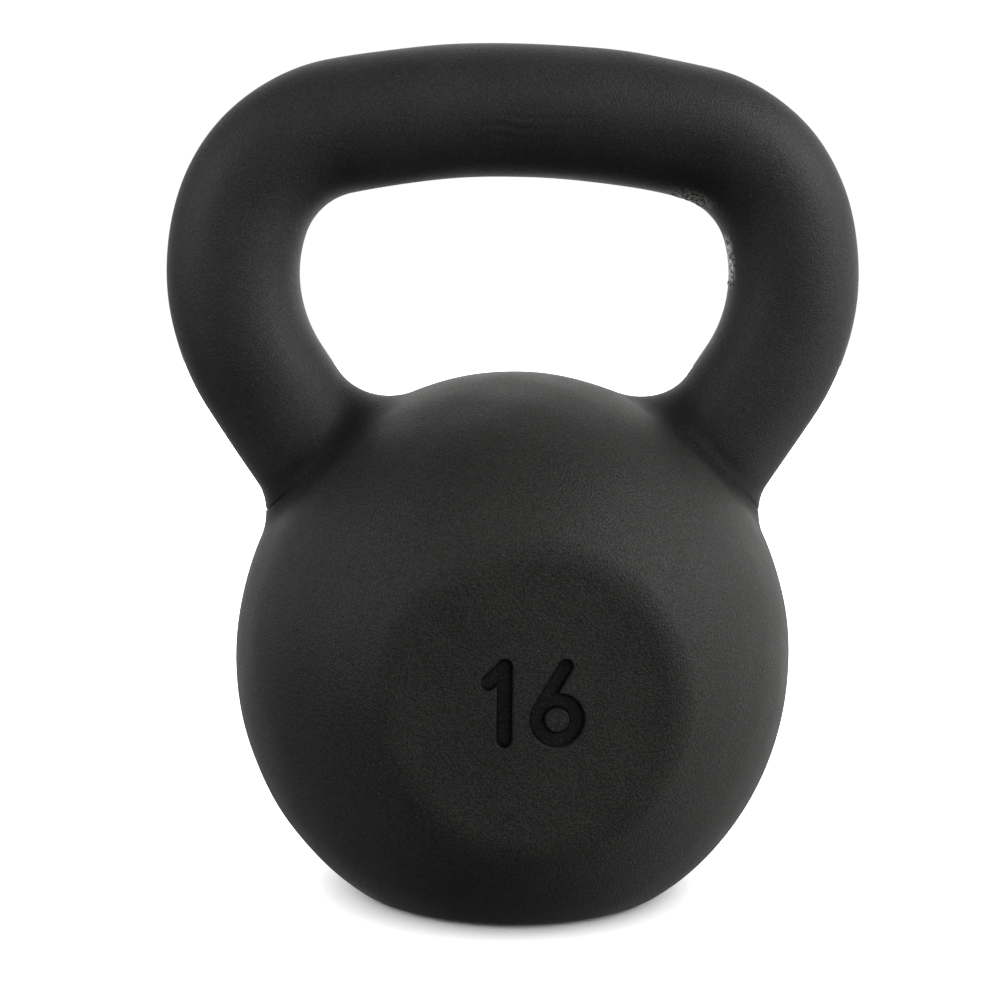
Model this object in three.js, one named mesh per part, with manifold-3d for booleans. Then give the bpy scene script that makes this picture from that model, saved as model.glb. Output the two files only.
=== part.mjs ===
// A 16 kilogram cast-iron kettlebell. Millimetres, +Z up. The origin is the middle of the flat
// base, +X runs along the grip, and the numbered face looks along -Y.
//
// The handle is one casting. Its two feet carry grooved tenons, which stand in the mould when the
// ball is poured round them, and each foot sits on a flat seat on the ball. A pocket in the base
// holds the ballast that trims the weight, and a steel plug pressed into the base closes it.
import * as THREE from "three";
import { mergeVertices } from "three/addons/utils/BufferGeometryUtils.js";
import Module from "manifold-3d";

const wasm = await Module();
wasm.setup();

// ---- Driving dimensions ----

// Ball
const BALL_RADIUS = 77.5; // half its width
const BALL_RISE = 79.3; // half its height, before the base is cut flat
const BASE_RADIUS = 43.7; // the flat that it stands on
const FACE_RADIUS = 37.8; // the flats on the front and the rear

// Handle: its centreline is a crown arc, two shoulder arcs, two hip arcs and two straight legs
const GRIP_RADIUS = 18; // half the bar's thickness
const WINDOW_HEIGHT = 53.5; // from the ball's top to the underside of the grip
const HALF_WIDTH = 77.8; // from the middle to the centreline of a hip
const CROWN_RADIUS = 233;
const SHOULDER_RADIUS = 35.2;
const HIP_RADIUS = 52.3;
const SHOULDER_TURN = THREE.MathUtils.degToRad(72.5); // from the top to where a hip starts

// Roots, where the feet stand on the ball
const SEAT_ANGLE = THREE.MathUtils.degToRad(44.8); // of a seat's middle from straight up
const SEAT_DEPTH = 1.2; // how deep a seat is cut into the ball, at its middle
const INNER_FILLET = 14.5; // towards the window
const FRONT_FILLET = 4; // in front and behind
const OUTER_FILLET = 7.5; // away from the window
const TENON_RADIUS = 12;
const TENON_LENGTH = 28;
const TENON_CHAMFER = 2;
const GROOVE_DEPTH = 2;
const GROOVE_WIDTH = 5;
const GROOVE_PITCH = 9;

// Ballast pocket and its plug
const POCKET_RADIUS = 20;
const PLUG_LEDGE = 2.3; // how much wider the plug's seat is than the pocket
const PLUG_DEPTH = 6;
const PLUG_CHAMFER = 1;
const PLUG_RECESS = 1.5; // from the base up to the plug
const BALLAST_HEIGHT = 42;
const BALLAST_CHAMFER = 3;

// Sunk weight mark
const MARK_HEIGHT = 22;
const MARK_STROKE = 3.6;
const MARK_DEPTH = 2;
const MARK_GAP = 4.5;
const MARK_BOWL = 5; // radius of the six's ring
const MARK_FLAG = 4; // reach of the one's flag
const MARK_LEAN = THREE.MathUtils.degToRad(30); // of the six's straight stroke

const FIT_GAP = 0.3; // between any two pieces that touch

// ---- Mesh fineness ----
const BALL_SEGMENTS = 64;
const BALL_RINGS = 36;
const CROWDING = 0.5; // how much closer the mesh lies at the roots
const BAR_SIDES = 24;
const BAR_STEPS = 60;
const TURNED_SIDES = 24;
const STROKE_SEGMENTS = 9;
const OVERRUN = 6; // how far a blank stands past the cut that trims it
const TINY = 1e-6;

// ---- Where things are ----

const { lerp } = THREE.MathUtils;
const ballCentre = BALL_RISE * Math.sqrt(1 - (BASE_RADIUS / BALL_RADIUS) ** 2);
const faceOffset = Math.sqrt(BALL_RADIUS ** 2 - FACE_RADIUS ** 2);
const gripCentre = ballCentre + BALL_RISE + WINDOW_HEIGHT + GRIP_RADIUS;

// A point in the plane of the handle, where a Vector2 holds x and z: it is at a distance from a
// centre, at an angle from straight up that turns towards +X.
const polar = (centre, radius, angle) =>
  new THREE.Vector2(centre.x + radius * Math.sin(angle), centre.y + radius * Math.cos(angle));

// A seat is square to the line from the ball's centre to its middle.
const middle = new THREE.Vector2(0, ballCentre);
const seatReach =
  1 / Math.hypot(Math.sin(SEAT_ANGLE) / BALL_RADIUS, Math.cos(SEAT_ANGLE) / BALL_RISE) - SEAT_DEPTH;
const seat = polar(middle, seatReach, SEAT_ANGLE);

// The +X half of the handle's centreline, from the middle of the grip down. Each arc starts where
// the one before it ends, with the same tangent, and the leg is the hip's tangent that passes
// through the seat's middle.
const shoulderReach = SHOULDER_RADIUS * Math.sin(SHOULDER_TURN);
const hipReach = HIP_RADIUS * (1 - Math.sin(SHOULDER_TURN));
const crownTurn = Math.asin(
  (HALF_WIDTH - shoulderReach - hipReach) / (CROWN_RADIUS - SHOULDER_RADIUS),
);
const crown = new THREE.Vector2(0, gripCentre - CROWN_RADIUS);
const shoulder = polar(crown, CROWN_RADIUS - SHOULDER_RADIUS, crownTurn);
const hip = polar(shoulder, SHOULDER_RADIUS - HIP_RADIUS, SHOULDER_TURN);
const seatToHip = hip.clone().sub(seat);
const legLean = Math.atan2(seatToHip.x, seatToHip.y) + Math.asin(HIP_RADIUS / seatToHip.length());
const arcs = [
  { centre: crown, radius: CROWN_RADIUS, from: 0, to: crownTurn },
  { centre: shoulder, radius: SHOULDER_RADIUS, from: crownTurn, to: SHOULDER_TURN },
  { centre: hip, radius: HIP_RADIUS, from: SHOULDER_TURN, to: Math.PI / 2 + legLean },
];
const legStart = polar(hip, HIP_RADIUS, Math.PI / 2 + legLean);
const legDown = new THREE.Vector2(-Math.sin(legLean), -Math.cos(legLean));
const legOut = new THREE.Vector2(Math.cos(legLean), -Math.sin(legLean));
const arcLength = arcs.reduce((sum, { radius, from, to }) => sum + radius * (to - from), 0);
const halfLength = arcLength + legStart.distanceTo(seat);
const legOverrun = OVERRUN + 2 * GRIP_RADIUS * Math.tan(Math.abs(SEAT_ANGLE - legLean));

// The centreline's point at a length from the middle of the grip.
function alongHandle(length) {
  let left = length;
  for (const { centre, radius, from, to } of arcs) {
    if (left <= radius * (to - from)) return polar(centre, radius, from + left / radius);
    left -= radius * (to - from);
  }
  return legStart.clone().addScaledVector(legDown, left);
}

// How far a point lies outside the centreline of the +X hip and leg, and which way that is.
function outsideHandle(x, z) {
  const point = new THREE.Vector2(Math.abs(x), z);
  const fromLeg = point.clone().sub(legStart);
  if (fromLeg.dot(legDown) > 0) return { out: fromLeg.dot(legOut), way: legOut };
  const fromHip = point.sub(hip);
  return { out: fromHip.length() - HIP_RADIUS, way: fromHip.normalize() };
}

// Distance from a point to the ball's surface, before its flats are cut, negative inside it.
function ballDistance(x, y, z) {
  const w = z - ballCentre;
  const scaled = Math.hypot(x / BALL_RADIUS, y / BALL_RADIUS, w / BALL_RISE);
  const slope = Math.hypot(x / BALL_RADIUS ** 2, y / BALL_RADIUS ** 2, w / BALL_RISE ** 2);
  return (scaled * (scaled - 1)) / slope;
}

// Distance from a point to the ball and the legs together, with a round fillet in the corner
// between them. Round a leg, the fillet widens from the front to the window's side and the outside.
function bodyDistance(x, y, z) {
  const { out } = outsideHandle(x, z);
  const fromLine = Math.hypot(out, y);
  const widest = out < 0 ? INNER_FILLET : OUTER_FILLET;
  const fillet = lerp(FRONT_FILLET, widest, (out / (fromLine + TINY)) ** 2);
  const ball = ballDistance(x, y, z);
  const bar = fromLine - GRIP_RADIUS;
  const corner = Math.hypot(Math.max(fillet - ball, 0), Math.max(fillet - bar, 0));
  return Math.max(fillet, Math.min(ball, bar)) - corner;
}

// Where a function that rises through zero between two values crosses it.
function crossing(rising, low, high) {
  for (let i = 0; i < 40; i += 1) {
    const half = (low + high) / 2;
    if (rising(half) < 0) low = half;
    else high = half;
  }
  return low;
}

// Carries a shape whose +Z axis leaves the ball to the seat on one side.
const toSeat = (side) =>
  new THREE.Matrix4().makeRotationY(side * SEAT_ANGLE).setPosition(side * seat.x, 0, seat.y);

// ---- Between three.js geometry and solids ----

function solid(geometry) {
  const bare = geometry.clone();
  bare.deleteAttribute("normal");
  bare.deleteAttribute("uv");
  const merged = mergeVertices(bare);
  const triVerts = [];
  for (let i = 0; i < merged.index.count; i += 3) {
    const corners = merged.index.array.slice(i, i + 3);
    if (new Set(corners).size === 3) triVerts.push(...corners);
  }
  return new wasm.Manifold(
    new wasm.Mesh({
      numProp: 3,
      vertProperties: merged.attributes.position.array,
      triVerts: new Uint32Array(triVerts),
    }),
  );
}

function geometryOf(manifold) {
  const { vertProperties, triVerts } = manifold.getMesh();
  const geometry = new THREE.BufferGeometry();
  geometry.setAttribute("position", new THREE.BufferAttribute(vertProperties, 3));
  geometry.setIndex(new THREE.BufferAttribute(triVerts, 1));
  return geometry;
}

// A turned shape on the +Z axis, from its (radius, height) outline, listed from the bottom up.
function turned(outline) {
  const points = outline.map(([radius, height]) => new THREE.Vector2(radius, height));
  return new THREE.LatheGeometry(points, TURNED_SIDES).rotateX(Math.PI / 2);
}

// A box with the middle of its underside, or of its top, at a height on the +Z axis.
const above = (size, height) => new THREE.BoxGeometry(...size).translate(0, 0, height + size[2] / 2);
const below = (size, height) => new THREE.BoxGeometry(...size).translate(0, 0, height - size[2] / 2);

// ---- Tenons and their sockets ----

// A tenon with two anchor grooves, hanging from the seat. grow swells it into its socket.
function tenonOutline(grow, top) {
  const radius = TENON_RADIUS + grow;
  const foot = -TENON_LENGTH - grow;
  const groove = (height) => {
    const half = GROOVE_WIDTH / 2 - grow;
    const slope = GROOVE_DEPTH / 2;
    return [
      [radius, height - half],
      [radius - GROOVE_DEPTH, height - half + slope],
      [radius - GROOVE_DEPTH, height + half - slope],
      [radius, height + half],
    ];
  };
  return [
    [0, foot],
    [radius - TENON_CHAMFER, foot],
    [radius, foot + TENON_CHAMFER],
    ...groove(-2 * GROOVE_PITCH),
    ...groove(-GROOVE_PITCH),
    [radius, top],
    [0, top],
  ];
}

// ---- Handle ----

// The bar's centreline from foot to foot, running on past both seats. Its points lie closer
// together towards the feet, where the bar flares.
class HandleCurve extends THREE.Curve {
  getUtoTmapping(u) {
    return u - (CROWDING * Math.sin(2 * Math.PI * u)) / (2 * Math.PI);
  }

  getPoint(t, target = new THREE.Vector3()) {
    const length = (2 * t - 1) * (halfLength + legOverrun);
    const point = alongHandle(Math.abs(length));
    return target.set(Math.sign(length) * point.x, 0, point.y);
  }
}

// Moves each point of the bar's lower part straight out from the centreline, to the fillets.
function flareFeet(bar) {
  const points = bar.attributes.position;
  for (let i = 0; i < points.count; i += 1) {
    const [x, y, z] = [points.getX(i), points.getY(i), points.getZ(i)];
    const { out, way } = outsideHandle(x, z);
    const fromLine = Math.hypot(out, y);
    if (z > hip.y || fromLine < TINY) continue;
    const moved = (radius) => {
      const shift = (radius / fromLine - 1) * out;
      return [
        x + Math.sign(x) * shift * way.x,
        (y * radius) / fromLine,
        z + shift * way.y,
      ];
    };
    const radius = crossing((r) => bodyDistance(...moved(r)), GRIP_RADIUS / 2, 2 * GRIP_RADIUS);
    points.setXYZ(i, ...moved(radius));
  }
  return bar;
}

function makeHandle() {
  const section = new THREE.Shape().absarc(0, 0, GRIP_RADIUS, 0, 2 * Math.PI);
  const bar = new THREE.ExtrudeGeometry(section, {
    curveSegments: BAR_SIDES / 2,
    steps: BAR_STEPS,
    extrudePath: new HandleCurve(),
  });
  const offCutSize = [6 * GRIP_RADIUS, 6 * GRIP_RADIUS, 2 * GRIP_RADIUS + legOverrun];
  let handle = solid(flareFeet(bar));
  for (const side of [-1, 1]) {
    const offCut = below(offCutSize, FIT_GAP / 2).applyMatrix4(toSeat(side));
    const tenon = turned(tenonOutline(0, OVERRUN)).applyMatrix4(toSeat(side));
    handle = handle.subtract(solid(offCut)).add(solid(tenon));
  }
  return handle;
}

// ---- Sunk weight mark ----

// A straight stroke with round ends, between two points of its centreline.
function bar(x0, y0, x1, y1) {
  const half = MARK_STROKE / 2;
  const angle = Math.atan2(y1 - y0, x1 - x0);
  return new THREE.Shape()
    .absarc(x1, y1, half, angle - Math.PI / 2, angle + Math.PI / 2)
    .absarc(x0, y0, half, angle + Math.PI / 2, angle + 1.5 * Math.PI);
}

// A curved stroke round a centre, between two angles in degrees that turn to the left.
function bow(x, y, across, up, from, to) {
  const half = MARK_STROKE / 2;
  const [start, end] = [from, to].map(THREE.MathUtils.degToRad);
  return new THREE.Shape()
    .absellipse(x, y, across + half, up + half, start, end)
    .absellipse(x, y, across - half, up - half, end, start, true);
}

// A one, and a six made of a ring and a straight stroke that leaves it at a tangent, each with the
// width of its cell. Their strokes' centrelines stay half a stroke inside their outlines.
function characters() {
  const low = MARK_STROKE / 2;
  const high = MARK_HEIGHT - low;
  const one = low + MARK_FLAG;
  const centre = low + MARK_BOWL;
  const leaveX = centre - MARK_BOWL * Math.cos(MARK_LEAN);
  const leaveY = centre + MARK_BOWL * Math.sin(MARK_LEAN);
  const topX = leaveX + (high - leaveY) * Math.tan(MARK_LEAN);
  return [
    { width: one + low, strokes: [bar(one, low, one, high), bar(low, high - MARK_FLAG, one, high)] },
    {
      width: centre + MARK_BOWL + low,
      strokes: [
        bow(centre, centre, MARK_BOWL, MARK_BOWL, 0, 180),
        bow(centre, centre, MARK_BOWL, MARK_BOWL, 180, 360),
        bar(leaveX, leaveY, topX, high),
      ],
    },
  ];
}

// All that is cut out of the front face for the mark.
function markCut() {
  const row = characters();
  const width = row.reduce((sum, cell) => sum + cell.width + MARK_GAP, -MARK_GAP);
  const face = new THREE.Matrix4().makeRotationX(Math.PI / 2).setPosition(0, -faceOffset, ballCentre);
  const strokes = [];
  let left = -width / 2;
  for (const cell of row) {
    for (const shape of cell.strokes) {
      const stroke = new THREE.ExtrudeGeometry(shape, {
        depth: 2 * MARK_DEPTH,
        bevelEnabled: false,
        curveSegments: STROKE_SEGMENTS,
      });
      stroke.translate(left, -MARK_HEIGHT / 2, -MARK_DEPTH).applyMatrix4(face);
      strokes.push(solid(stroke));
    }
    left += cell.width + MARK_GAP;
  }
  return strokes.reduce((cut, stroke) => cut.add(stroke));
}

// ---- Ball ----

// The rough ball, up to a little past both seats. Its mesh has poles at the front and the rear,
// and each point lies where a ray from the middle leaves the ball, its fillets and the blanks.
function roughBall() {
  const sphere = new THREE.SphereGeometry(1, BALL_SEGMENTS, BALL_RINGS);
  const points = sphere.attributes.position;
  const turn = new THREE.Spherical();
  const ray = new THREE.Vector3();
  for (let i = 0; i < points.count; i += 1) {
    turn.setFromVector3(ray.fromBufferAttribute(points, i));
    turn.theta += (CROWDING * Math.sin(4 * turn.theta)) / 4;
    turn.phi += (CROWDING * Math.sin(2 * turn.phi)) / 2;
    ray.setFromSpherical(turn);
    ray.z *= BALL_RISE / BALL_RADIUS;
    const past = Math.abs(ray.x) * Math.sin(SEAT_ANGLE) + ray.z * Math.cos(SEAT_ANGLE);
    const outside = (r) =>
      Math.max(
        bodyDistance(r * ray.x, r * ray.y, ballCentre + r * ray.z),
        r * past - seatReach - OVERRUN,
      );
    const r = crossing(outside, BALL_RADIUS / 2, 2 * BALL_RADIUS);
    points.setXYZ(i, r * ray.x, r * ray.y, ballCentre + r * ray.z);
  }
  return solid(sphere);
}

const plugSeatRadius = POCKET_RADIUS + PLUG_LEDGE;
const plugTop = PLUG_RECESS + PLUG_DEPTH;
const ballastFoot = plugTop + 2 * FIT_GAP;
const ballastTop = ballastFoot + BALLAST_HEIGHT;

// The stepped hole in the base: a seat for the plug, and above it the ballast's pocket.
function pocketCut() {
  const top = ballastTop + FIT_GAP;
  return turned([
    [0, -OVERRUN],
    [plugSeatRadius, -OVERRUN],
    [plugSeatRadius, plugTop + FIT_GAP],
    [POCKET_RADIUS, plugTop + FIT_GAP],
    [POCKET_RADIUS, top - BALLAST_CHAMFER],
    [POCKET_RADIUS - BALLAST_CHAMFER, top],
    [0, top],
  ]);
}

function makeBall() {
  const size = 4 * BALL_RADIUS;
  const slab = solid(above([size, 2 * faceOffset, size], 0));
  let ball = roughBall().intersect(slab).subtract(solid(pocketCut())).subtract(markCut());
  for (const side of [-1, 1]) {
    const offCut = above([size, size, size], -FIT_GAP / 2).applyMatrix4(toSeat(side));
    const socket = turned(tenonOutline(FIT_GAP, OVERRUN)).applyMatrix4(toSeat(side));
    ball = ball.subtract(solid(offCut)).subtract(solid(socket));
  }
  return ball;
}

// ---- Ballast and plug ----

function makeBallast() {
  const radius = POCKET_RADIUS - FIT_GAP;
  return solid(
    turned([
      [0, ballastFoot],
      [radius, ballastFoot],
      [radius, ballastTop - BALLAST_CHAMFER],
      [radius - BALLAST_CHAMFER, ballastTop],
      [0, ballastTop],
    ]),
  );
}

// A turned steel disc, pressed in from below.
function makePlug() {
  const radius = plugSeatRadius - FIT_GAP;
  return solid(
    turned([
      [0, PLUG_RECESS],
      [radius - PLUG_CHAMFER, PLUG_RECESS],
      [radius, PLUG_RECESS + PLUG_CHAMFER],
      [radius, plugTop - PLUG_CHAMFER],
      [radius - PLUG_CHAMFER, plugTop],
      [0, plugTop],
    ]),
  );
}

// ---- Assembly ----

const blackCoat = () =>
  new THREE.MeshStandardMaterial({ color: 0x262627, roughness: 0.62, metalness: 0 });
const pressedShot = () =>
  new THREE.MeshStandardMaterial({ color: 0x5c5e60, roughness: 0.7, metalness: 0.6 });
const platedSteel = () =>
  new THREE.MeshStandardMaterial({ color: 0x8c8b86, roughness: 0.4, metalness: 0.9 });

const kettlebell = new THREE.Group();
const pieces = [
  ["ball", makeBall(), blackCoat()],
  ["handle", makeHandle(), blackCoat()],
  ["ballast", makeBallast(), pressedShot()],
  ["base_plug", makePlug(), platedSteel()],
];
for (const [name, shape, material] of pieces) {
  const mesh = new THREE.Mesh(geometryOf(shape), material);
  mesh.name = name;
  kettlebell.add(mesh);
}

export default kettlebell;
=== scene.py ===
# A 16 kilogram cast-iron kettlebell with a black powder coat. Metres, +Z up. The origin is the
# middle of the flat base, +X runs along the grip, and the numbered face looks along -Y.
import math

import bpy
import numpy as np
from mathutils import Matrix, Vector


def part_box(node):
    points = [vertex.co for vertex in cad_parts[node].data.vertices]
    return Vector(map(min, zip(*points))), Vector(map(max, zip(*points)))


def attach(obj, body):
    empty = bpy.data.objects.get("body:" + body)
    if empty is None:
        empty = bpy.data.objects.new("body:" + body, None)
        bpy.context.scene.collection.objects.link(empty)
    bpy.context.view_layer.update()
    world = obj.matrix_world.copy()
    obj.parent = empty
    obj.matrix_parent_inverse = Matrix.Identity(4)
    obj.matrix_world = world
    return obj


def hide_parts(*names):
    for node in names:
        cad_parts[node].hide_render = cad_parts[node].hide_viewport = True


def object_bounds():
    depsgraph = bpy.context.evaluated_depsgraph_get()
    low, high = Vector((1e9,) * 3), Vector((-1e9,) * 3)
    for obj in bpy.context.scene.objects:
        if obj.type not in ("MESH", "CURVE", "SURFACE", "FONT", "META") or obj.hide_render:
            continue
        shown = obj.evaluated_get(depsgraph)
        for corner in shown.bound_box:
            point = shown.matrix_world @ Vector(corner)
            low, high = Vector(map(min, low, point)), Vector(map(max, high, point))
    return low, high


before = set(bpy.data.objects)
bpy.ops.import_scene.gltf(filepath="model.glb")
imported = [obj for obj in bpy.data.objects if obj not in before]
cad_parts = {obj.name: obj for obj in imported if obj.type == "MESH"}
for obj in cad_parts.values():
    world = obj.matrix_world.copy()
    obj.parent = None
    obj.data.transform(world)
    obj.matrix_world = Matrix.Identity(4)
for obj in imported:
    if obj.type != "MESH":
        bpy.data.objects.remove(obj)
cad_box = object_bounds()
mm = 0.001

# ---- Camera ----
# A long lens a little above the middle of the kettlebell, turned a few degrees to its left.

aim = Vector((-3.9 * mm, 0, 0.464 * cad_box[1].z))
away, turn, raised, tilt = 516.6 * mm, math.radians(-4.07), math.radians(6.31), math.radians(0.59)
lens = bpy.data.cameras.new("camera")
lens.lens = 66.24
lens.sensor_width = 36
lens.clip_start = 0.01
camera = bpy.data.objects.new("camera", lens)
backwards = Vector((math.sin(turn) * math.cos(raised), -math.cos(turn) * math.cos(raised), math.sin(raised)))
camera.matrix_world = (
    Matrix.Translation(aim + away * backwards)
    @ Matrix.Rotation(turn, 4, "Z")
    @ Matrix.Rotation(math.pi / 2 - raised, 4, "X")
    @ Matrix.Rotation(tilt, 4, "Z")
)
bpy.context.scene.collection.objects.link(camera)
bpy.context.scene.camera = camera

# ---- Handle ----
# The handle is one grey-iron casting: a round bar bent to an arch, with two feet that flare into
# the ball. Under each foot stands a grooved tenon, which the ball is poured round. Its flash was
# knocked off at the inside of one shoulder, and a matt black powder coat covers the rest. The coat
# is a little lighter than the ball's, as painted light, and darker in the corner at each foot, as
# painted shade.

grip_radius = 18 * mm
half_width = 77.8 * mm
crown_radius = 233 * mm
shoulder_radius = 35.2 * mm
hip_radius = 52.3 * mm
shoulder_turn = math.radians(72.5)
seat_angle = math.radians(44.8)
seat_depth = 1.2 * mm
inner_fillet = 14.5 * mm
front_fillet = 4 * mm
outer_fillet = 7.5 * mm
joint_gap = 0.04 * mm

ball_rise = 79.3 * mm
ball_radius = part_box("ball")[1].x
ball_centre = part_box("ball")[1].z - ball_rise
grip_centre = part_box("handle")[1].z - grip_radius
ball_at_seat = 1 / math.hypot(math.sin(seat_angle) / ball_radius, math.cos(seat_angle) / ball_rise)
seat_reach = ball_at_seat - seat_depth
seat = np.array([seat_reach * math.sin(seat_angle), 0, ball_centre + seat_reach * math.cos(seat_angle)])

# The bar's centreline, as the radius of each arc and the angle that it turns through
crown_turn = math.asin(
    (half_width - shoulder_radius * math.sin(shoulder_turn) - hip_radius * (1 - math.sin(shoulder_turn)))
    / (crown_radius - shoulder_radius)
)
shoulder_x = (crown_radius - shoulder_radius) * math.sin(crown_turn)
shoulder_z = grip_centre - crown_radius + (crown_radius - shoulder_radius) * math.cos(crown_turn)
hip_x = shoulder_x + (shoulder_radius - hip_radius) * math.sin(shoulder_turn)
hip_z = shoulder_z + (shoulder_radius - hip_radius) * math.cos(shoulder_turn)
hip_to_seat = math.hypot(hip_x - seat[0], hip_z - seat[2])
leg_lean = math.atan2(hip_x - seat[0], hip_z - seat[2]) + math.asin(hip_radius / hip_to_seat)
arcs = [
    (crown_radius, crown_turn),
    (shoulder_radius, shoulder_turn - crown_turn),
    (hip_radius, math.pi / 2 + leg_lean - shoulder_turn),
]
half_length = sum(radius * sweep for radius, sweep in arcs) + math.sqrt(hip_to_seat**2 - hip_radius**2)


def centreline(length):
    """The bar's middle, at a length from the top: x, z and the angle of the outward normal from
    straight up. Along an arc, x and z change by the radius times the change in the normal's sine
    and cosine. Past the last arc the line is straight."""
    x, z, angle = 0.0, grip_centre, 0.0
    for radius, sweep in arcs:
        next_angle = angle + np.clip(length, 0, radius * sweep) / radius
        x = x + radius * (np.sin(next_angle) - np.sin(angle))
        z = z + radius * (np.cos(next_angle) - np.cos(angle))
        angle = next_angle
        length = length - radius * sweep
    leg = np.maximum(length, 0)
    return x + leg * np.cos(angle), z - leg * np.sin(angle), angle


def on_bar(side, length, around, radius):
    """A point on the bar of one side: from the middle, the radius times the cosine of around goes
    along the outward normal, and the radius times its sine goes along Y."""
    x, z, angle = centreline(length)
    out = radius * np.cos(around)
    return np.stack([side * (x + out * np.sin(angle)), radius * np.sin(around), z + out * np.cos(angle)], -1)


shape_seed = np.random.default_rng(16)
wave_count = 8
wave_height = 0.03 * mm
wave_lengths = np.linspace(13, 46, wave_count) * mm
wave_ways = shape_seed.normal(size=(3, wave_count))
wave_ways = wave_ways / np.linalg.norm(wave_ways, axis=0) * 2 * np.pi / wave_lengths
wave_starts = shape_seed.uniform(0, 2 * np.pi, wave_count)


def cast_skin(points):
    """How far a sand mould leaves the iron proud of its nominal shape: the sum of eight sine waves
    of 13 to 46 mm, each along its own fixed direction, 0.03 mm high each."""
    return wave_height * np.sin(points @ wave_ways + wave_starts).sum(-1)


def ball_distance(points):
    """Distance to the ball's ellipsoid: k (k - 1) / s, where k is the length of the point from the
    centre with each part divided by its half axis, and s is the same with squared half axes."""
    half_axes = np.array([ball_radius, ball_radius, ball_rise])
    from_centre = points - [0, 0, ball_centre]
    scaled = np.linalg.norm(from_centre / half_axes, axis=-1)
    return scaled * (scaled - 1) / np.linalg.norm(from_centre / half_axes**2, axis=-1)


def body_distance(points, from_bar, outward):
    """Distance to ball and bar together, with a round fillet f in the corner: the larger of f and
    the smaller distance, less the hypotenuse of how far each distance is under f, and less the cast
    skin. The fillet grows from the front to the window's side, where outward is -1, and to the
    outside, where it is 1, with the square of outward."""
    fillet = np.where(outward < 0, inner_fillet, outer_fillet)
    fillet = front_fillet + (fillet - front_fillet) * outward**2
    from_ball = ball_distance(points)
    corner = np.hypot(np.maximum(fillet - from_ball, 0), np.maximum(fillet - from_bar, 0))
    return np.maximum(fillet, np.minimum(from_ball, from_bar)) - corner - cast_skin(points)


def corner_shade(points, from_bar, outward):
    """Painted shade in the corner between ball and bar, from how near a point lies to it: 0.55 times a
    bell curve of the hypotenuse of both distances, and 0.4 times one half as wide. The first is
    4.5 mm wide, and grows to 11 mm towards the window, where outward is -1, with the square of
    outward."""
    width = 4.5 * mm + 6.5 * mm * np.where(outward < 0, outward**2, 0)
    apart = (ball_distance(points) ** 2 + from_bar**2) / (2 * width**2)
    return 0.55 * np.exp(-apart) + 0.4 * np.exp(-4 * apart)


def past_seat(points):
    """Distance from a seat's plane, positive on the handle's side."""
    outwards = np.abs(points[..., 0]) * math.sin(seat_angle)
    return outwards + (points[..., 2] - ball_centre) * math.cos(seat_angle) - seat_reach


def crossing(rising, low, high, halvings=26):
    """Where a rising function passes zero between low and high: the range is halved again and
    again, and each time the half that holds the zero is kept."""
    for _ in range(halvings):
        middle = (low + high) / 2
        under = rising(middle) < 0
        low = np.where(under, middle, low)
        high = np.where(under, high, middle)
    return (low + high) / 2


def bar_radius(side, length, around):
    """Distance from the centreline to the cast surface, in the direction around."""
    length, around = np.broadcast_arrays(length, around)

    def rising(radius):
        """How far a point at this radius stands out of the cast surface."""
        return body_distance(on_bar(side, length, around, radius), radius - grip_radius, np.cos(around))

    return crossing(rising, np.full(length.shape, grip_radius / 2), np.full(length.shape, 2 * grip_radius))


# The tenon, as (radius, height) under its seat from the top down
tenon_radius = 12 * mm
tenon_length = 28 * mm
tenon_chamfer = 2 * mm
groove_depth = 2 * mm
groove_width = 5 * mm
groove_pitch = 9 * mm


def tenon_outline(grow):
    """Corners of the tenon's side from its top to its foot, swollen by grow for its socket: two
    grooves with walls that slope in by half their depth, then a chamfer at the foot."""
    radius = tenon_radius + grow
    half = groove_width / 2 - grow
    slope = groove_depth / 2
    corners = []
    for height in (-groove_pitch, -2 * groove_pitch):
        corners += [
            (radius, height + half),
            (radius - groove_depth, height + half - slope),
            (radius - groove_depth, height - half + slope),
            (radius, height - half),
        ]
    foot = -tenon_length - grow
    return corners + [(radius, foot + tenon_chamfer), (radius - tenon_chamfer, foot)]


def soften(corners, radius, steps=4):
    """An outline with each inner corner rounded: between the points one radius before and after
    the corner c, it follows (1-t)^2 a + 2t(1-t) c + t^2 b."""
    corners = np.array(corners, float)
    before, at, after = corners[:-2, None], corners[1:-1, None], corners[2:, None]
    a = at + radius * (before - at) / np.linalg.norm(before - at, axis=-1, keepdims=True)
    b = at + radius * (after - at) / np.linalg.norm(after - at, axis=-1, keepdims=True)
    t = np.linspace(0, 1, steps)[None, :, None]
    round_corners = (1 - t) ** 2 * a + 2 * t * (1 - t) * at + t**2 * b
    return np.vstack([corners[:1], round_corners.reshape(-1, 2), corners[-1:]])


def turned(outline, around):
    """Rings round +Z from (radius, height) pairs: radius times cosine, radius times sine, height."""
    radius, height = np.array(outline, float).T[:, :, None]
    return np.stack([radius * np.cos(around), radius * np.sin(around), height + 0 * around], -1)


def to_seat(side, rings):
    """Rings made round +Z, set on a seat: +X follows the seat outwards, and +Z leaves the ball."""
    outward = np.array([side * math.cos(seat_angle), 0, -math.sin(seat_angle)])
    leaving = np.array([side * math.sin(seat_angle), 0, math.cos(seat_angle)])
    middle = seat * [side, 1, 1]
    return middle + rings[..., :1] * outward + rings[..., 1:2] * [0, 1, 0] + rings[..., 2:] * leaving


sharp_from = math.radians(30)


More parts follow.
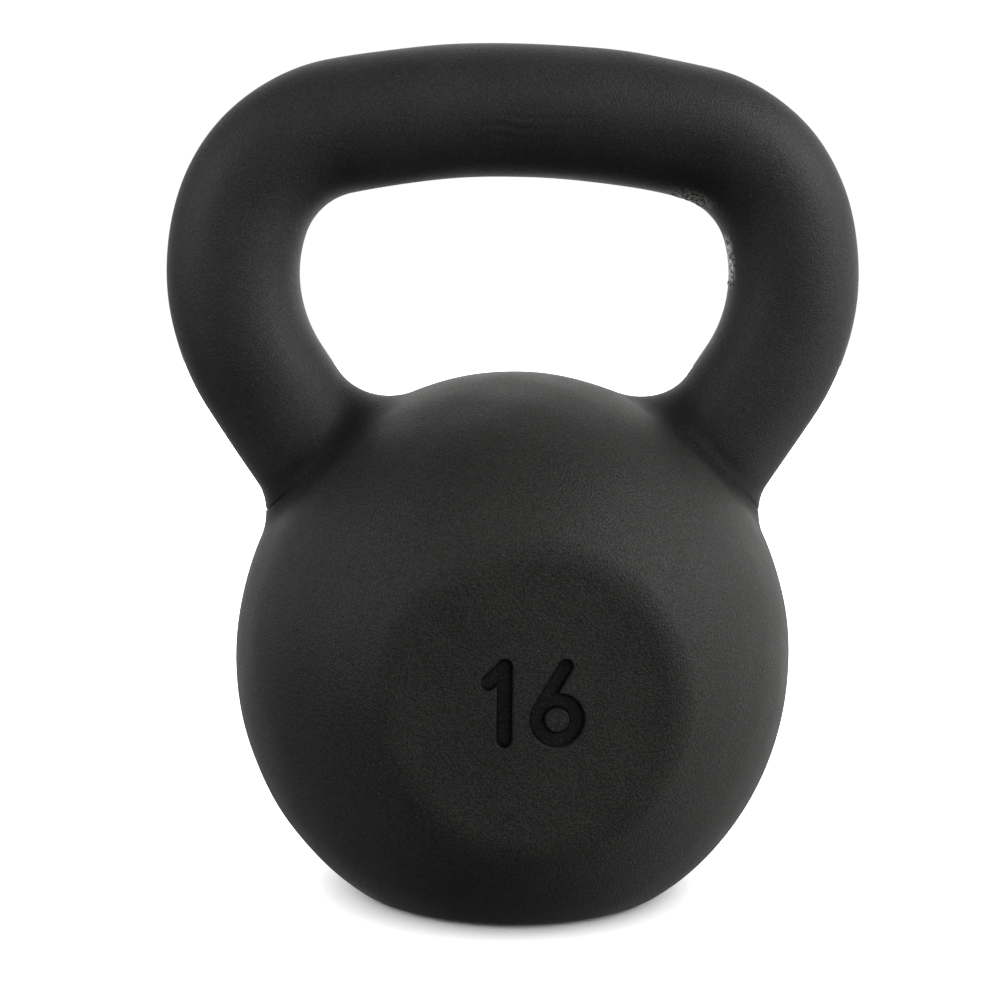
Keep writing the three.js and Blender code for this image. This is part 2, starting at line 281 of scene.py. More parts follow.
def closed_piece(name, rings, poles, materials, ring_material=None):
    """A closed mesh from a grid of rings by sides: a quad between each two neighbours on
    neighbouring rings, and a fan to a pole at each end. ring_material gives the material of each
    row of quads. Faces are turned so that the volume, a sixth of the sum of a . (b x c) over the
    triangles, is positive."""
    count, sides = rings.shape[:2]
    places = np.vstack([rings.reshape(-1, 3), np.array(poles)])
    ring, side = np.meshgrid(np.arange(count - 1), np.arange(sides), indexing="ij")
    here = ring * sides + side
    beside = ring * sides + (side + 1) % sides
    quads = np.stack([here, beside, beside + sides, here + sides], -1).reshape(-1, 4)
    edge = np.arange(sides)
    first = np.stack([np.full(sides, count * sides), (edge + 1) % sides, edge], -1)
    last_row = (count - 1) * sides
    last = np.stack([np.full(sides, count * sides + 1), last_row + edge, last_row + (edge + 1) % sides], -1)
    triangles = np.vstack([quads[:, [0, 1, 2]], quads[:, [0, 2, 3]], first, last])
    a, b, c = places[triangles].transpose(1, 0, 2)
    if np.einsum("ij,ij->", a, np.cross(b, c)) < 0:
        quads, first, last = quads[:, ::-1], first[:, ::-1], last[:, ::-1]
    mesh = bpy.data.meshes.new(name)
    mesh.from_pydata(places, [], [*quads.tolist(), *first.tolist(), *last.tolist()])
    for material in materials:
        mesh.materials.append(material)
    if ring_material is not None:
        per_ring = np.repeat(np.asarray(ring_material), sides)
        ends = np.repeat([ring_material[0], ring_material[-1]], sides)
        mesh.polygons.foreach_set("material_index", np.concatenate([per_ring, ends]).astype(np.int32))
    piece = bpy.data.objects.new(name, mesh)
    bpy.context.scene.collection.objects.link(piece)
    smooth_between_edges(mesh)
    return piece


def smooth_between_edges(mesh):
    """Shades a mesh smooth, apart from edges between two materials and edges of any material but
    the first where the two faces' normals are further apart than sharp_from."""
    mesh.polygons.foreach_set("use_smooth", np.ones(len(mesh.polygons), bool))
    sizes = np.zeros(len(mesh.polygons), np.int32)
    materials = np.zeros(len(mesh.polygons), np.int32)
    normals = np.zeros(len(mesh.polygons) * 3, np.float32)
    edges = np.zeros(len(mesh.loops), np.int32)
    mesh.polygons.foreach_get("loop_total", sizes)
    mesh.polygons.foreach_get("material_index", materials)
    mesh.polygons.foreach_get("normal", normals)
    mesh.loops.foreach_get("edge_index", edges)
    face = np.repeat(np.arange(len(sizes)), sizes)[np.argsort(edges, kind="stable")]
    one, other = face[0::2], face[1::2]
    normals = normals.reshape(-1, 3)
    bent = (normals[one] * normals[other]).sum(-1) < math.cos(sharp_from)
    marked = (materials[one] != materials[other]) | (bent & (materials[one] > 0))
    attribute = mesh.attributes.get("sharp_edge") or mesh.attributes.new("sharp_edge", "BOOLEAN", "EDGE")
    attribute.data.foreach_set("value", marked)


def node_maker(tree):
    """A function that adds nodes to one tree."""

    def add(kind, settings=None, **inputs):
        """A new node of one kind, with its settings, and its inputs by name or by number, as in _0.
        Each input is a value or another node's output."""
        node = tree.nodes.new(kind)
        for key, value in (settings or {}).items():
            setattr(node, key, value)
        for key, value in inputs.items():
            socket = node.inputs[int(key[1:]) if key[1:].isdigit() else key.replace("_", " ")]
            if isinstance(value, bpy.types.NodeSocket):
                tree.links.new(value, socket)
            else:
                socket.default_value = value
        return node

    return add


def finish_of(name, colour, roughness, metallic):
    """A new material, its shader, a maker of nodes in it, and its links. The three values are the
    plain finish, which any node linked to the shader later overrides."""
    material = bpy.data.materials.new(name)
    material.use_nodes = True
    tree = material.node_tree
    shader = next(node for node in tree.nodes if node.type == "BSDF_PRINCIPLED")
    shader.inputs["Base Color"].default_value = (*colour, 1)
    shader.inputs["Roughness"].default_value = roughness
    shader.inputs["Metallic"].default_value = metallic
    return material, shader, node_maker(tree), tree.links


def noise(add, place, scale, detail, roughness):
    """A cloud noise of so many features a metre, from 0 to 1."""
    return add("ShaderNodeTexNoise", Vector=place, Scale=scale, Detail=detail, Roughness=roughness).outputs[0]


def spread(add, value, low, high, to_low, to_high):
    """A value carried evenly from one range to another, and held at its ends."""
    inputs = dict(From_Min=low, From_Max=high, To_Min=to_low, To_Max=to_high)
    return add("ShaderNodeMapRange", Value=value, **inputs).outputs[0]


def blend(add, share, one, other):
    """A colour between two others, at a share of the way."""
    return add("ShaderNodeMix", {"data_type": "RGBA"}, _0=share, _6=one, _7=other).outputs[2]


def maths(add, operation, one, other=0.0):
    """The result of one operation, such as ADD, on one or two values."""
    return add("ShaderNodeMath", {"operation": operation}, _0=one, _1=other).outputs[0]


def black_coat(name, dark, light, grit):
    """Matt black powder coat: faint clouds between two near blacks, an orange-peel swell of 3 mm and
    a grain of half a millimetre. The grain changes the colour and the glint by 0.4 times grit, and
    the bump by grit. Where the point attribute for painted shade is 1, painted shade leaves the coat
    a fifth of its colour and glint and no pale specks. Where bare is 1, the torn iron under it shows
    instead."""
    material, shader, add, links = finish_of(name, (0.012, 0.012, 0.012), 0.5, 0.0)
    place = add("ShaderNodeTexCoord").outputs["Object"]
    bare = add("ShaderNodeAttribute", {"attribute_name": "bare"}).outputs["Fac"]
    sunk = add("ShaderNodeAttribute", {"attribute_name": "sunk"}).outputs["Fac"]
    clouds = noise(add, place, 38.0, 4.0, 0.6)
    peel = noise(add, place, 330.0, 2.0, 0.5)
    grain = noise(add, place, 2000.0, 2.0, 0.6)

    grain_share = 0.4 * grit
    lightness = spread(add, grain, 0.3, 0.7, 1 - grain_share, 1 + grain_share)
    # Painted shade: the shade attribute cuts the coat's colour and glint to a fifth, and below takes out its
    # pale specks
    lightness = maths(add, "MULTIPLY", lightness, spread(add, sunk, 0, 1, 1, 0.2))
    links.new(maths(add, "MULTIPLY", lightness, 0.5), shader.inputs["Specular IOR Level"])
    coat = blend(add, spread(add, clouds, 0.35, 0.65, 0.0, 1.0), (*dark, 1), (*light, 1))
    grained = add("ShaderNodeHueSaturation", Color=coat, Value=lightness).outputs[0]
    specks = spread(add, noise(add, place, 1700.0, 1.0, 0.5), 0.64, 0.80, 0.0, 1.0)
    specks = maths(add, "MULTIPLY", specks, spread(add, sunk, 0, 0.5, 1, 0))
    specked = blend(add, specks, grained, (0.075, 0.075, 0.072, 1))

    torn = spread(add, noise(add, place, 900.0, 5.0, 0.7), 0.43, 0.51, 0.0, 1.0)
    iron = blend(add, torn, (0.02, 0.02, 0.02, 1), (0.9, 0.88, 0.84, 1))
    bright = maths(add, "MULTIPLY", torn, bare)
    links.new(blend(add, bare, specked, iron), shader.inputs["Base Color"])
    links.new(bright, shader.inputs["Metallic"])
    matt = spread(add, clouds, 0.3, 0.7, 0.46, 0.58)
    roughness = add("ShaderNodeMix", _0=bright, _2=matt, _3=0.35).outputs[0]
    links.new(roughness, shader.inputs["Roughness"])
    swell = add("ShaderNodeBump", Height=peel, Distance=0.10 * mm, Strength=0.7)
    fine = add("ShaderNodeBump", Height=grain, Distance=0.26 * mm, Strength=grit, Normal=swell.outputs[0])
    links.new(fine.outputs[0], shader.inputs["Normal"])
    return material


def bare_iron(name):
    """Grey iron as it was cut or cast, without its coat: mid grey with dark graphite clouds."""
    material, shader, add, links = finish_of(name, (0.2, 0.195, 0.19), 0.55, 1.0)
    place = add("ShaderNodeTexCoord").outputs["Object"]
    clouds = noise(add, place, 120.0, 5.0, 0.65)
    share = spread(add, clouds, 0.35, 0.65, 0.0, 1.0)
    colour = blend(add, share, (0.11, 0.107, 0.104, 1), (0.27, 0.265, 0.255, 1))
    links.new(colour, shader.inputs["Base Color"])
    links.new(spread(add, clouds, 0.3, 0.7, 0.45, 0.7), shader.inputs["Roughness"])
    grain = noise(add, place, 1200.0, 3.0, 0.6)
    bump = add("ShaderNodeBump", Height=grain, Distance=0.04 * mm, Strength=0.7)
    links.new(bump.outputs[0], shader.inputs["Normal"])
    return material


# The handle's coat is a lighter copy of the ball's, as painted light: it stands in for more light on the
# handle
handle_coat = black_coat("handle_coat", (0.021, 0.021, 0.0215), (0.032, 0.032, 0.033), 0.65)
cast_iron = bare_iron("bare_cast_iron")

bar_rings = 200
bar_sides = 160
seat_rings = 6
crowd_rings = 0.7  # closer together near the foot
crowd_sides = 0.55  # closer together on the window's side
evenly = np.linspace(0, 2 * np.pi, bar_sides, endpoint=False)
around = evenly + crowd_sides * np.sin(evenly)
crease_width = 0.5 * mm
crease_least = 0.02 * mm
crease_most = 0.5 * mm
wrinkle_height = 0.11 * mm
wrinkle_pitch = 0.42 * mm
wrinkle_drop = 5.5 * mm
wrinkle_reach = (13 * mm, 3.5 * mm)  # along X, and across it


def crease(points, around):
    """How deep the foot's rim is drawn in: a bell curve of its distance to the seat. From the
    window's side to the outside, its depth grows from the least to the most with the fifth power
    of (1 + cosine of around) / 2."""
    outside = (1 + np.cos(around)) / 2
    deep = crease_least + (crease_most - crease_least) * outside**5
    return deep * np.exp(-((past_seat(points) / crease_width) ** 2))


def wrinkles(points):
    """Cold-shut wrinkles on the front of the grip: low ridges along X, a sine of the height with
    a phase that wanders along X by two more sines, under a bell curve round their middle."""
    x, y, z = points[..., 0], points[..., 1], points[..., 2]
    wander = 0.9 * np.sin(x / (6 * mm)) + 0.7 * np.sin(x / (2.7 * mm) + 1)
    across = z - (grip_centre - wrinkle_drop)
    spot = np.exp(-((x / wrinkle_reach[0]) ** 2) - (across / wrinkle_reach[1]) ** 2) * (y < 0)
    return wrinkle_height * spot * np.sin(across / wrinkle_pitch + wander)


# Middle along the bar, middle towards the front, reach along, reach across, and height
flash_places = [
    (56.0 * mm, 3.6 * mm, 9.5 * mm, 4.2 * mm, 0.60 * mm),
    (95.5 * mm, 2.0 * mm, 10.0 * mm, 2.6 * mm, 0.35 * mm),
    (105.0 * mm, 0.4 * mm, 1.2 * mm, 1.0 * mm, 0.70 * mm),
]


def flash(length, around, radius):
    """Torn flash inside one shoulder: its height, and how bare it is. Each place is a flat-topped
    bell along the bar and across it, the exponential of minus the fourth powers. Of its height,
    0.2 is even, 0.5 is strands along the bar and 0.3 is lumps. Strands and lumps are each a sine
    with a phase that wanders."""
    across = radius * (around - np.pi)
    strand_wander = 1.5 * np.sin(length / (1.3 * mm)) + length / (2.1 * mm)
    strands = 0.5 + 0.5 * np.sin(across / (0.17 * mm) + strand_wander)
    lump_wander = 2 * np.sin(length / (2.9 * mm)) + across / (0.6 * mm)
    lumps = 0.5 + 0.5 * np.sin(length / (0.75 * mm) + lump_wander)
    height, bare = 0, 0
    for along_middle, across_middle, along_reach, across_reach, tall in flash_places:
        along_share = ((length - along_middle) / along_reach) ** 4
        spot = np.exp(-along_share - ((across - across_middle) / across_reach) ** 4)
        height = height + tall * spot * (0.2 + 0.5 * strands + 0.3 * lumps)
        bare = bare + spot
    return height, np.clip(bare, 0, 1)


def half_handle(side):
    """Rings of one half, of the bar and from its rim to the tenon's foot, and for each point of
    the bar how bare its iron is and how much painted shade it gets in the corner at the foot."""
    flat_around = around[None, :]
    shortest, longest = half_length - 30 * mm, half_length + 30 * mm

    def foot_reached(length):
        """How far a point of the surface at this length is past the plane half a gap above the
        seat."""
        points = on_bar(side, length, around, bar_radius(side, length, around))
        return joint_gap / 2 - past_seat(points)

    end = crossing(foot_reached, np.full(bar_sides, shortest), np.full(bar_sides, longest))
    t = np.linspace(0, 1, bar_rings)[:, None]
    length = end * (t + crowd_rings * np.sin(np.pi * t) / np.pi)
    radius = bar_radius(side, length, flat_around)
    surface = on_bar(side, length, flat_around, radius)
    radius = radius - crease(surface, flat_around) + wrinkles(surface)
    bare = 0 * radius
    if side > 0:
        proud, bare = flash(length, flat_around, grip_radius)
        radius = radius + proud
    bar = on_bar(side, length, flat_around, radius)
    # Painted shade in the corner where the foot meets the ball
    deep = corner_shade(bar, radius - grip_radius, np.cos(flat_around))
    rim = bar[-1]
    tenon_corners = [(tenon_radius, joint_gap / 2), *tenon_outline(0)]
    tenon = to_seat(side, turned(soften(tenon_corners, 0.3 * mm), around))
    share = np.linspace(0, 1, seat_rings + 1)[1:-1, None, None]
    underside = rim + share * (tenon[0] - rim)
    return bar, np.concatenate([underside, tenon]), bare, deep


left_bar, left_foot, left_bare, left_painted_shade = half_handle(-1)
right_bar, right_foot, right_bare, right_painted_shade = half_handle(1)
left_side = np.concatenate([left_bar[1:], left_foot])[::-1]
handle_rings = np.concatenate([left_side, right_bar, right_foot])
foot_count = len(right_foot)
ring_material = np.zeros(len(handle_rings) - 1, int)
ring_material[:foot_count] = 1
ring_material[-foot_count:] = 1
tenon_tips = to_seat(-1, np.array([0, 0, -tenon_length])), to_seat(1, np.array([0, 0, -tenon_length]))
handle = closed_piece("handle_casting", handle_rings, tenon_tips, [handle_coat, cast_iron], ring_material)
# bare marks the torn flash; the other mask is painted shade in the corner at each foot
for mask_name, left_mask, right_mask in (("bare", left_bare, right_bare), ("sunk", left_painted_shade, right_painted_shade)):
    mask = np.zeros((len(handle_rings), bar_sides))
    mask[foot_count : foot_count + bar_rings - 1] = left_mask[:0:-1]
    mask[len(left_side) : len(left_side) + bar_rings] = right_mask
    mask = np.append(mask.ravel(), [0, 0]).astype(np.float32)
    handle.data.attributes.new(mask_name, "FLOAT", "POINT").data.foreach_set("value", mask)
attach(handle, "root")
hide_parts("handle")

# ---- Ball ----
# The ball is poured in grey iron round the handle's tenons. It has a flat base, a flat front with
# its weight recessed in plain strokes, a flat rear, and a stepped pocket bored up from the base.
# The outside has the same powder coat as the handle, a little darker as painted shade, with more
# painted shade in the corners at the feet and in the recessed strokes.

face_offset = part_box("ball")[1].y
face_radius = math.sqrt(ball_radius**2 - face_offset**2)
ball_sides = 400
face_edge_softness = 1.8 * mm
base_edge_softness = 2.2 * mm
foot_overrun = 2 * mm
tiny = 1e-9  # keeps a point on the centreline from dividing by zero


def soft_corner(one, other, softness):
    """The larger of two distances, with the edge where they meet rounded by a radius: with both
    raised by the radius, the larger one up to 0, plus the hypotenuse of what is over 0 in each,
    less the radius."""
    one, other = one + softness, other + softness
    round_part = np.hypot(np.maximum(one, 0), np.maximum(other, 0))
    return np.minimum(np.maximum(one, other), 0) + round_part - softness


def outside_bar(points):
    """Distance outwards from the centreline of the hip and leg, in the plane of the handle: across
    the leg's line below its start, and from the hip's centre, less its radius, above it."""
    x, z = np.abs(points[..., 0]), points[..., 2]
    start_x = hip_x + hip_radius * math.cos(leg_lean)
    start_z = hip_z - hip_radius * math.sin(leg_lean)
    down_leg = -(x - start_x) * math.sin(leg_lean) - (z - start_z) * math.cos(leg_lean)
    out_of_leg = (x - start_x) * math.cos(leg_lean) - (z - start_z) * math.sin(leg_lean)
    return np.where(down_leg > 0, out_of_leg, np.hypot(x - hip_x, z - hip_z) - hip_radius)


def ball_and_feet(points):
    """The filleted body, cut off a little past the seats, flat in front, behind and below."""
    out = outside_bar(points)
    from_line = np.hypot(out, points[..., 1])
    shape = body_distance(points, from_line - grip_radius, out / (from_line + tiny))
    shape = np.maximum(shape, past_seat(points) - foot_overrun)
    shape = soft_corner(shape, np.abs(points[..., 1]) - face_offset, face_edge_softness)
    return soft_corner(shape, -points[..., 2], base_edge_softness)


# Rings from the middle of the front face to the middle of the rear face, as angles from -Y. They
# are closest on the mark and at the edge of each flat face.
face_turn = math.atan2(face_radius, face_offset)
face_end = face_turn + 0.05
across_face = np.concatenate([np.arange(0.3, 30, 0.3), np.arange(30, 36, 0.75)]) * mm
to_face = np.arctan(across_face / face_offset)
past_face = np.concatenate(
    [
        np.arange(to_face[-1], face_end, 0.009)[1:],
        np.arange(face_end, math.pi / 2, 0.0172),
        np.arange(math.pi / 2, math.pi - face_turn - 0.03, 0.024),
        np.arange(math.pi - face_turn - 0.03, math.pi - face_turn + 0.04, 0.012),
        np.linspace(math.pi - face_turn + 0.045, math.pi - 0.03, 7),
    ]
)
from_front = np.concatenate([to_face, past_face])[:, None]
evenly = np.linspace(0, 2 * np.pi, ball_sides, endpoint=False)[None, :]

# Sides crowd to the left and right of the mark on the face, and at the feet past it
on_face = np.clip((face_end - from_front) / 0.15, 0, 1)
crowd_mark = 0.45 * on_face * np.sin(2 * evenly) / 2
crowd_feet = 0.35 * (1 - on_face) * np.sin(4 * evenly) / 4
about_y = evenly + crowd_mark + crowd_feet
rays = np.stack(
    [
        np.sin(from_front) * np.sin(about_y),
        -np.cos(from_front) + 0 * about_y,
        np.sin(from_front) * np.cos(about_y) * ball_rise / ball_radius,
    ],
    -1,
)
middle = np.array([0, 0, ball_centre])
reach = crossing(
    lambda far: ball_and_feet(middle + far[..., None] * rays),
    np.full(rays.shape[:2], ball_radius / 2),
    np.full(rays.shape[:2], 2 * ball_radius),
)
ball_rings = middle + reach[..., None] * rays

# The sunk weight mark: each stroke is a line of points in its character's cell
mark_height = 22 * mm
stroke_half = 1.8 * mm
mark_gap = 4.5 * mm
mark_flag = 4 * mm
mark_bowl = 5 * mm
mark_lean = math.radians(30)
mark_sunk = 2 * mm
wall_width = 0.4 * mm
# How far the painted shade at a stroke's wall reaches
wall_shade_reach = 0.45 * mm


def characters():
    """Each character's cell width and its strokes: a one, and a six made of a ring and a straight
    stroke that leaves it at a tangent."""
    low, high, centre = stroke_half, mark_height - stroke_half, stroke_half + mark_bowl
    one = [[(low, high - mark_flag), (low + mark_flag, high), (low + mark_flag, low)]]
    turn = np.linspace(0, 2 * np.pi, 25)
    ring = np.stack([centre + mark_bowl * np.cos(turn), centre + mark_bowl * np.sin(turn)], -1)
    leave_x = centre - mark_bowl * math.cos(mark_lean)
    leave_z = centre + mark_bowl * math.sin(mark_lean)
    top_x = leave_x + (high - leave_z) * math.tan(mark_lean)
    six = [ring, [(leave_x, leave_z), (top_x, high)]]
    return [(mark_flag + 2 * low, one), (2 * mark_bowl + 2 * low, six)]


def stroke_distance(x, z, path):
    """Distance from points to a line through a list of points: for each length of it, the nearest
    point is the foot of the perpendicular, held between its ends."""
    path = np.array(path, float)
    a, along = path[:-1], np.diff(path, axis=0)
    to_x, to_z = x[..., None] - a[:, 0], z[..., None] - a[:, 1]
    share = np.clip((to_x * along[:, 0] + to_z * along[:, 1]) / (along**2).sum(-1), 0, 1)
    return np.hypot(to_x - share * along[:, 0], to_z - share * along[:, 1]).min(-1)


def mark_depth(points):
    """How deep the mark lies below the face, and how much painted shade lies in it, from 0 to 1. The
    wall falls as 3 t^2 - 2 t^3, where t grows from 0 to 1 across its width, and a bell curve of the
    distance to the stroke's edge adds painted shade at the wall."""
    x, z = points[..., 0], points[..., 2] - ball_centre + mark_height / 2
    row = characters()
    left = -(sum(width for width, _ in row) + mark_gap * (len(row) - 1)) / 2
    nearest = np.full(x.shape, np.inf)
    for width, strokes in row:
        for path in strokes:
            nearest = np.minimum(nearest, stroke_distance(x - left, z, path))
        left += width + mark_gap
    fall = np.clip((stroke_half + wall_width / 2 - nearest) / wall_width, 0, 1)
    shade_at_wall = np.exp(-(((nearest - stroke_half) / wall_shade_reach) ** 2))
    return mark_sunk * fall**2 * (3 - 2 * fall), 0.45 * fall + 0.55 * shade_at_wall


face_rings = len(to_face)
ball_rings[:face_rings, :, 1] += mark_depth(ball_rings[:face_rings])[0]

poles = [(0, -face_offset, ball_centre), (0, face_offset, ball_centre)]
# The ball's coat is a little darker than the handle's copy of it, as painted shade
ball_coat = black_coat("ball_coat", (0.018, 0.018, 0.0168), (0.026, 0.026, 0.0243), 1.0)
ball = closed_piece("ball_casting", ball_rings, poles, [ball_coat, cast_iron])

# What the sockets, the seats and the base's pocket take out of the ball
fit_gap = 0.3 * mm
pocket_radius = 20 * mm
plug_seat_radius = 22.3 * mm
plug_depth = 6 * mm
plug_recess = 1.5 * mm
mouth_chamfer = 0.6 * mm
mouth_cone = 6 * mm
ballast_height = 42 * mm
ballast_chamfer = 3 * mm
plug_top = plug_recess + plug_depth
ballast_foot = plug_top + 2 * fit_gap
ballast_top = ballast_foot + ballast_height
cut_around = np.linspace(0, 2 * np.pi, 96, endpoint=False)
clear = 60 * mm
seat_rim = [(tenon_radius + fit_gap, -joint_gap / 2), (clear, -joint_gap / 2), (clear, clear)]
socket = turned([*tenon_outline(fit_gap)[::-1], *seat_rim], cut_around)
socket_ends = np.array([[0, 0, -tenon_length - fit_gap], [0, 0, clear]])
pocket = turned(
    [
        (plug_seat_radius + mouth_cone, mouth_chamfer - mouth_cone),
        (plug_seat_radius, mouth_chamfer),
        (plug_seat_radius, plug_top + fit_gap),
        (pocket_radius, plug_top + fit_gap),
        (pocket_radius, ballast_top + fit_gap - ballast_chamfer),
        (pocket_radius - ballast_chamfer, ballast_top + fit_gap),
    ],
    cut_around,
)
pocket_ends = np.array([[0, 0, mouth_chamfer - mouth_cone], [0, 0, ballast_top + fit_gap]])
cutters = [
    closed_piece("left_socket", to_seat(-1, socket), to_seat(-1, socket_ends), [cast_iron]),
    closed_piece("right_socket", to_seat(1, socket), to_seat(1, socket_ends), [cast_iron]),
    closed_piece("pocket", pocket, pocket_ends, [cast_iron]),
]
for cutter in cutters:
    cut = ball.modifiers.new(cutter.name, "BOOLEAN")
    cut.operation = "DIFFERENCE"
    cut.solver = "EXACT"
    cut.material_mode = "TRANSFER"
    cut.object = cutter
whole_mesh = ball.data
cut_mesh = bpy.data.meshes.new_from_object(ball.evaluated_get(bpy.context.evaluated_depsgraph_get()))
ball.modifiers.clear()
ball.data = cut_mesh
cut_mesh.name = "ball_casting"
bpy.data.meshes.remove(whole_mesh)
for cutter in cutters:
    bpy.data.meshes.remove(cutter.data)
smooth_between_edges(cut_mesh)
points = np.zeros(len(cut_mesh.vertices) * 3, np.float32)
cut_mesh.vertices.foreach_get("co", points)
points = points.reshape(-1, 3).astype(float)
# Painted shade: in the corner at each foot, and in the recessed strokes of the mark
from_middle = np.hypot(outside_bar(points), points[:, 1])
painted_shade_mask = corner_shade(points, from_middle - grip_radius, outside_bar(points) / from_middle)
near_face = points[:, 1] < mark_sunk + wall_width - face_offset
painted_shade_mask += np.where(near_face, mark_depth(points)[1], 0)
cut_mesh.attributes.new("sunk", "FLOAT", "POINT").data.foreach_set("value", painted_shade_mask.astype(np.float32))
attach(ball, "root")
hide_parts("ball")

# ---- Ballast ----
# A slug of cast iron that trims the kettlebell to its weight. It drops into the pocket with a
# slide fit, and its top edge is chamfered to match the pocket's end.

ballast_radius = pocket_radius - fit_gap
ballast_outline = [
    (ballast_radius - 2 * mm, ballast_foot),
    (ballast_radius, ballast_foot),
    (ballast_radius, ballast_top - ballast_chamfer),
    (ballast_radius - ballast_chamfer, ballast_top),
    (ballast_radius - 2 * ballast_chamfer, ballast_top),
]
ballast_rings = turned(soften(ballast_outline, 0.4 * mm), cut_around)
ballast_iron = bare_iron("ballast_iron")
ballast = closed_piece(
    "ballast_slug", ballast_rings, [(0, 0, ballast_foot), (0, 0, ballast_top)], [ballast_iron]
)
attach(ballast, "root")
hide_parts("ballast")

# ---- Base plug ----
# A turned steel disc, pressed into the step at the mouth of the pocket so that it stays clear of
# the floor. The lathe leaves fine rings on its face and a small dimple at its centre.

plug_radius = plug_seat_radius - fit_gap
plug_chamfer = 1 * mm
dimple_radius = 1.1 * mm
dimple_tip = 0.2 * mm
plug_outline = [
    (dimple_tip, plug_recess + dimple_radius - dimple_tip),
    (dimple_radius, plug_recess),
    (plug_radius - plug_chamfer, plug_recess),
    (plug_radius, plug_recess + plug_chamfer),
    (plug_radius, plug_top - plug_chamfer),
    (plug_radius - plug_chamfer, plug_top),
    (plug_radius - 3 * mm, plug_top),
]


def turned_steel(name):
    """Steel off the lathe: bright grey, with a bump of fine rings about the Z axis whose height is
    a noise of the distance from the axis, and faint brown-grey stains."""
    material, shader, add, links = finish_of(name, (0.42, 0.41, 0.4), 0.34, 1.0)
    place = add("ShaderNodeTexCoord").outputs["Object"]
    parts = add("ShaderNodeSeparateXYZ", _0=place)
    flat = add("ShaderNodeCombineXYZ", _0=parts.outputs[0], _1=parts.outputs[1])
    from_axis = add("ShaderNodeVectorMath", {"operation": "LENGTH"}, _0=flat.outputs[0]).outputs["Value"]
    on_ring = add("ShaderNodeCombineXYZ", _0=from_axis)
    rings = noise(add, on_ring.outputs[0], 4200.0, 2.0, 0.6)
    stains = noise(add, place, 160.0, 4.0, 0.6)
    share = spread(add, stains, 0.4, 0.7, 0.0, 1.0)
    colour = blend(add, share, (0.44, 0.43, 0.42, 1), (0.27, 0.25, 0.225, 1))
    links.new(colour, shader.inputs["Base Color"])
    links.new(spread(add, stains, 0.35, 0.7, 0.28, 0.46), shader.inputs["Roughness"])
    bump = add("ShaderNodeBump", Height=rings, Distance=0.02 * mm, Strength=0.8)
    links.new(bump.outputs[0], shader.inputs["Normal"])
    return material


plug = closed_piece(
    "base_plug_disc",
    turned(soften(plug_outline, 0.15 * mm), cut_around),
    [(0, 0, plug_recess + dimple_radius - dimple_tip / 2), (0, 0, plug_top)],
    [turned_steel("plug_steel")],
)
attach(plug, "root")
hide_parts("base_plug")

# ---- Floor and studio light ----
# A white floor, lit by a sun of its own, in a studio that is bright behind and dim in front, above
# and below. A square soft light stands on each side, with a faint one above and behind. The camera
# sees the studio as plain white.

floor_size = 4.0
floor_mesh = bpy.data.meshes.new("floor")
corners = np.array([(-1, -1, 0), (1, -1, 0), (1, 1, 0), (-1, 1, 0)]) * floor_size
floor_mesh.from_pydata(corners, [], [(0, 1, 2, 3)])
floor = bpy.data.objects.new("floor", floor_mesh)
bpy.context.scene.collection.objects.link(floor)
floor_mesh.materials.append(finish_of("white_floor", (0.85, 0.85, 0.85), 0.9, 0.0)[0])
floor.visible_glossy = False
floor.visible_diffuse = False


def lamp_of(name, kind, energy):
    """A new light of one kind, in the scene at the origin, shining down."""
    lamp = bpy.data.lights.new(name, kind)
    lamp.energy = energy
    light = bpy.data.objects.new(name, lamp)
    bpy.context.scene.collection.objects.link(light)
    return light


def soft_light(name, place, aim_at, width, height, energy):
    """A rectangular studio light, aimed at a point."""
    light = lamp_of(name, "AREA", energy)
    light.data.shape = "RECTANGLE"
    light.data.size = width
    light.data.size_y = height
    light.location = place
    light.rotation_euler = (Vector(aim_at) - Vector(place)).to_track_quat("-Z", "Y").to_euler()


over_floor = lamp_of("floor_light", "SUN", 9.0)
over_floor.data.angle = math.radians(150)
lit_by_it = bpy.data.collections.new("lit_by_floor_light")
lit_by_it.objects.link(floor)
over_floor.light_linking.receiver_collection = lit_by_it

soft_light("right_light", (0.54, -0.28, 0.54), (0.05, 0, 0.19), 0.35, 0.35, 1.45)
soft_light("left_light", (-0.62, -0.19, 0.40), (-0.03, 0, 0.18), 0.4, 0.4, 0.95)
soft_light("top_light", (0, 0.30, 0.70), (0, 0, 0.22), 0.6, 0.25, 0.15)

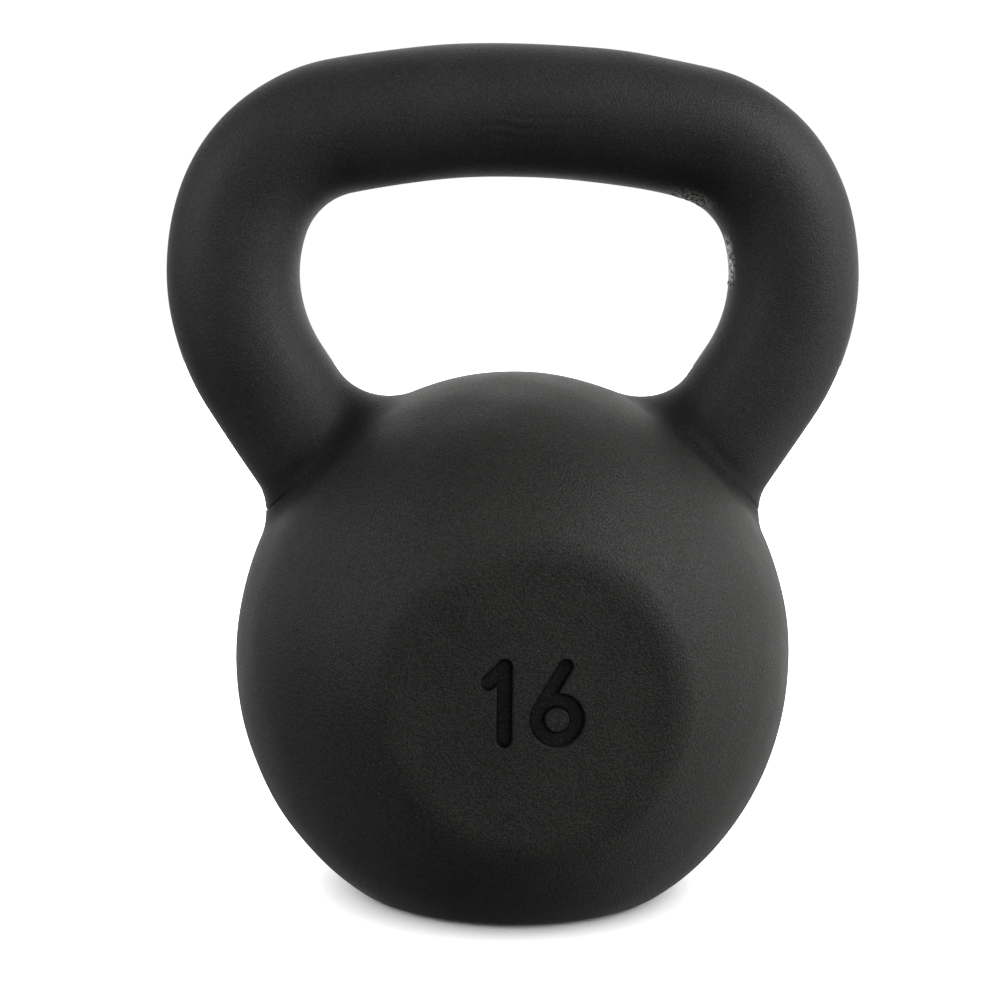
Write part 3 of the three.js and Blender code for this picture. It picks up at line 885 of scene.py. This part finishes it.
world = bpy.data.worlds.new("studio")
world.use_nodes = True
bpy.context.scene.world = world
world.node_tree.nodes.clear()
add_to_world = node_maker(world.node_tree)


def ramp(value, low, high, to_low, to_high):
    """A value carried smoothly from one range to another, as 3 t^2 - 2 t^3 of the way through it."""
    steps = dict(_0=value, _1=low, _2=high, _3=to_low, _4=to_high)
    return add_to_world("ShaderNodeMapRange", {"interpolation_type": "SMOOTHSTEP"}, **steps).outputs[0]


way = add_to_world("ShaderNodeTexCoord").outputs["Generated"]
way_x, way_y, way_z = add_to_world("ShaderNodeSeparateXYZ", _0=way).outputs
below_to_level = ramp(way_z, -0.3, 0.1, 0.04, 0.55)
in_front = maths(add_to_world, "MULTIPLY", below_to_level, ramp(way_z, 0.35, 0.95, 1.0, 0.45))
from_right = ramp(way_x, 0.6, 1.0, 0.0, 0.6)
to_side = maths(add_to_world, "ABSOLUTE", way_x)
near_floor = ramp(way_z, -0.9, -0.1, 1.0, 0.0)
off_floor = maths(add_to_world, "MULTIPLY", ramp(to_side, 0.22, 0.85, 0.0, 0.65), near_floor)
front_and_right = maths(add_to_world, "ADD", in_front, from_right)
sideways = maths(add_to_world, "ADD", front_and_right, off_floor)
behind = ramp(way_z, -0.85, 0.0, 0.2, 1.7)
how_far_behind = ramp(way_y, 0.5, 0.95, 0.0, 1.0)
around_us = add_to_world("ShaderNodeMix", _0=how_far_behind, _2=sideways, _3=behind).outputs[0]
level = maths(add_to_world, "MULTIPLY", around_us, ramp(way_x, -0.6, 0.0, 0.5, 1.0))
lit = add_to_world("ShaderNodeBackground", _0=(1.0, 1.0, 0.985, 1), _1=level).outputs[0]
white = add_to_world("ShaderNodeBackground", _0=(1, 1, 1, 1), _1=1.02).outputs[0]
seen = add_to_world("ShaderNodeLightPath").outputs["Is Camera Ray"]
both = add_to_world("ShaderNodeMixShader", _0=seen, _1=lit, _2=white).outputs[0]
add_to_world("ShaderNodeOutputWorld", _0=both)
bpy.context.scene.view_settings.view_transform = "Standard"
